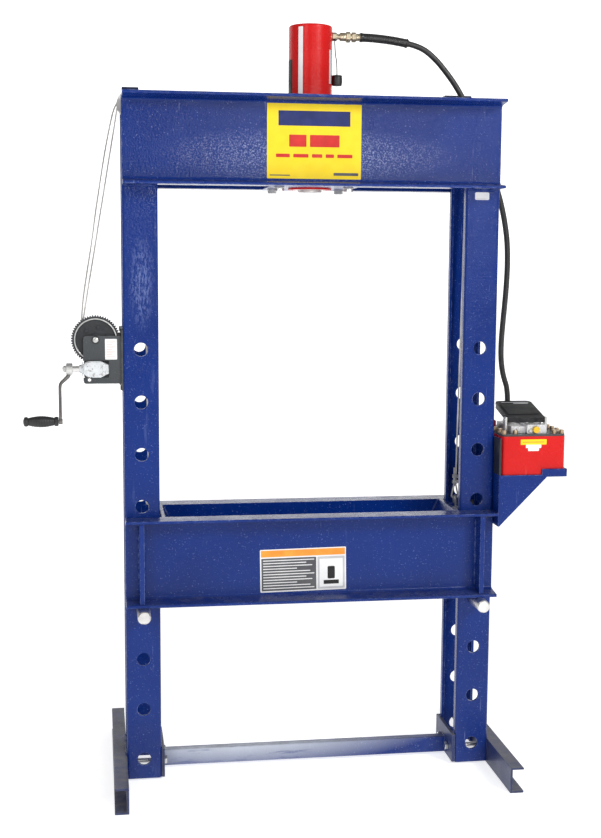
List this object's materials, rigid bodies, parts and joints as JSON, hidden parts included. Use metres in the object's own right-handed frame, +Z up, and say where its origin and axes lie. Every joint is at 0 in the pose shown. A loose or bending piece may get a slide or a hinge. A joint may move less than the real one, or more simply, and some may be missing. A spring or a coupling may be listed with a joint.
{
  "type": "h-frame shop press",
  "caption": "H-frame shop press with a vertical hydraulic cylinder, a bed on pins that a hand winch lifts, and an air pump with a foot treadle.",
  "frame": {"origin": "middle of the machine's footprint, on the floor", "axes": "+Z up, the front faces -Y, +X to the operator's right"},
  "size_m": [1.6, 0.68, 2.217],
  "materials": {
    "blue_paint": "gloss",
    "red_paint": "gloss",
    "black_paint": "satin",
    "zinc": "satin",
    "machined_steel": "satin",
    "hard_chrome": "polished",
    "rope_steel": "satin",
    "rubber": "matte",
    "black_plastic": "matte",
    "aluminium": "satin",
    "red_plastic": "gloss",
    "yellow_plastic": "gloss",
    "brass": "satin"
  },
  "bodies": {
    "frame": {"air_motor": "aluminium", "beam_front_channel": "blue_paint", "beam_rear_channel": "blue_paint", "bottom_brace": "blue_paint", "brace_end_plates": "blue_paint", "cap_lanyard": "rubber", "cylinder_barrel": "red_paint", "cylinder_gland": "machined_steel", "cylinder_plate": "blue_paint", "cylinder_plate_bolts": "zinc", "drum_axle": "zinc", "dust_cap": "black_plastic", "feet": "blue_paint", "filler_cap": "red_plastic", "head_plate": "blue_paint", "hose_guard": "rubber", "hydraulic_hose": "rubber", "left_post": "blue_paint", "long_rope": "rope_steel", "long_rope_drop": "rope_steel", "pump_bracket": "blue_paint", "pump_cover_screws": "zinc", "pump_manifold": "aluminium", "pump_outlet_fitting": "brass", "pump_tank": "red_paint", "pump_top_plate": "black_paint", "quick_coupler": "brass", "return_spring": "machined_steel", "right_post": "blue_paint", "sheave_axles": "zinc", "sheave_brackets": "blue_paint", "short_rope": "rope_steel", "short_rope_drop": "rope_steel", "side_bolts": "zinc", "tie_bolts": "zinc", "treadle_hinge": "zinc", "winch_frame": "black_paint", "worm_housing": "zinc"},
    "bed": {"bed_front_channel": "blue_paint", "bed_rear_channel": "blue_paint", "bed_stiffeners": "blue_paint", "bed_end_ties": "blue_paint", "rope_end_fittings": "zinc", "rope_eyes": "rope_steel"},
    "ram": {"ram_plunger": "hard_chrome", "ram_piston": "machined_steel", "ram_saddle": "machined_steel"},
    "left_pin_body": {"left_pin": "machined_steel"},
    "right_pin_body": {"right_pin": "machined_steel"},
    "drum": {"rope_drum": "zinc", "rope_coils": "rope_steel", "worm_wheel": "zinc"},
    "left_long_sheave": {"left_sheave_long_rope": "machined_steel"},
    "left_short_sheave": {"left_sheave_short_rope": "machined_steel"},
    "right_long_sheave": {"right_sheave": "machined_steel"},
    "crank": {"worm_shaft": "machined_steel", "crank_arm": "black_paint"},
    "grip": {"crank_grip": "black_plastic"},
    "treadle_body": {"treadle": "black_paint"},
    "relief_knob": {"relief_valve_knob": "yellow_plastic"}
  },
  "joints": [
    {"name": "bed_lift", "type": "slide", "parent": "frame", "child": "bed", "axis": [0, 0, 1], "range_m": [0, 0.6096], "deforming": ["short_rope_drop", "long_rope_drop"]},
    {"name": "ram_extend", "type": "slide", "parent": "frame", "child": "ram", "axis": [0, 0, -1], "range_m": [0, 0.337], "stiffness_N_per_m": 900, "springref_m": -0.2, "deforming": ["return_spring"]},
    {"name": "left_pin_slide", "type": "slide", "parent": "frame", "child": "left_pin_body", "axis": [0, -1, 0], "range_m": [0, 0.31]},
    {"name": "right_pin_slide", "type": "slide", "parent": "frame", "child": "right_pin_body", "axis": [0, -1, 0], "range_m": [0, 0.31]},
    {"name": "drum_turn", "type": "hinge", "parent": "frame", "child": "drum", "pos_m": [-0.5915, 0, 1.313], "axis": [0, 1, 0], "range_deg": [-800, 0]},
    {"name": "left_long_sheave_turn", "type": "hinge", "parent": "frame", "child": "left_long_sheave", "pos_m": [-0.484, 0.074, 1.99], "axis": [0, 1, 0], "range_deg": [-1000, 0]},
    {"name": "left_short_sheave_turn", "type": "hinge", "parent": "frame", "child": "left_short_sheave", "pos_m": [-0.484, 0.05, 1.99], "axis": [0, 1, 0], "range_deg": [-1000, 0]},
    {"name": "right_sheave_turn", "type": "hinge", "parent": "frame", "child": "right_long_sheave", "pos_m": [0.499, 0.068, 1.99], "axis": [0, 1, 0], "range_deg": [-1000, 0]},
    {"name": "crank_turn", "type": "hinge", "parent": "frame", "child": "crank", "pos_m": [-0.667, -0.072, 1.2286], "axis": [1, 0, 0], "continuous": true},
    {"name": "grip_spin", "type": "hinge", "parent": "crank", "child": "grip", "pos_m": [-0.747, -0.072, 1.0776], "axis": [1, 0, 0], "continuous": true},
    {"name": "treadle_press", "type": "hinge", "parent": "frame", "child": "treadle_body", "pos_m": [0.688, -0.092, 1.069], "axis": [1, 0, 0], "range_deg": [-7, 0], "stiffness_Nm_per_rad": 12, "springref_deg": 6.88},
    {"name": "relief_knob_turn", "type": "hinge", "parent": "frame", "child": "relief_knob", "pos_m": [0.705, -0.14, 1.044], "axis": [0, 1, 0], "range_deg": [0, 270]}
  ],
  "couplings": [
    {"joint": "drum_turn", "follows": "bed_lift", "rad_per_m": -22.831},
    {"joint": "left_long_sheave_turn", "follows": "bed_lift", "rad_per_m": -28.571},
    {"joint": "left_short_sheave_turn", "follows": "bed_lift", "rad_per_m": -28.571},
    {"joint": "right_sheave_turn", "follows": "bed_lift", "rad_per_m": -28.571}
  ]
}
